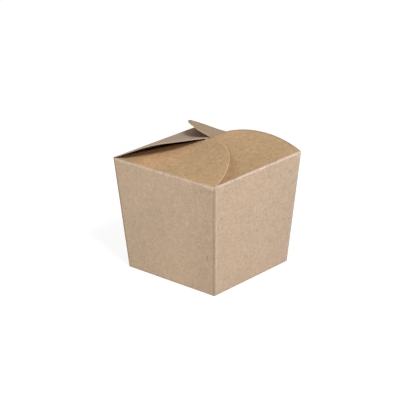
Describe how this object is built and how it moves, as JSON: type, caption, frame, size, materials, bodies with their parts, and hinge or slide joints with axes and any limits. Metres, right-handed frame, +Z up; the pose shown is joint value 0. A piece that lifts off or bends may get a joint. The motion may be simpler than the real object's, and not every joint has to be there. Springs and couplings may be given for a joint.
{
  "type": "takeout food pail",
  "caption": "Tapered square kraft board food pail, closed on top by curved petals that lap over one another and fold open together.",
  "frame": {"origin": "middle of the square base, on the surface the pail stands on", "axes": "+Z up through the middle of the pail; -Y is the front side and +X the right side, square to the walls"},
  "size_m": [0.09, 0.09, 0.0938],
  "materials": {
    "kraft_board": "matte"
  },
  "bodies": {
    "carton": {"carton": "kraft_board"},
    "petal_front": {"petal_front": "kraft_board"},
    "petal_right": {"petal_right": "kraft_board"},
    "petal_back": {"petal_back": "kraft_board"},
    "petal_left": {"petal_left": "kraft_board"}
  },
  "joints": [
    {"name": "front_fold", "type": "hinge", "parent": "carton", "child": "petal_front", "pos_m": [0, -0.045, 0.0802], "axis": [1, 0, 0], "range_deg": [0, 110]},
    {"name": "right_fold", "type": "hinge", "parent": "carton", "child": "petal_right", "pos_m": [0.045, 0, 0.0802], "axis": [0, 1, 0], "range_deg": [0, 110]},
    {"name": "back_fold", "type": "hinge", "parent": "carton", "child": "petal_back", "pos_m": [0, 0.045, 0.0802], "axis": [-1, 0, 0], "range_deg": [0, 110]},
    {"name": "left_fold", "type": "hinge", "parent": "carton", "child": "petal_left", "pos_m": [-0.045, 0, 0.0802], "axis": [0, -1, 0], "range_deg": [0, 110]}
  ],
  "couplings": [
    {"joint": "right_fold", "follows": "front_fold", "ratio": 1},
    {"joint": "back_fold", "follows": "front_fold", "ratio": 1},
    {"joint": "left_fold", "follows": "front_fold", "ratio": 1}
  ]
}
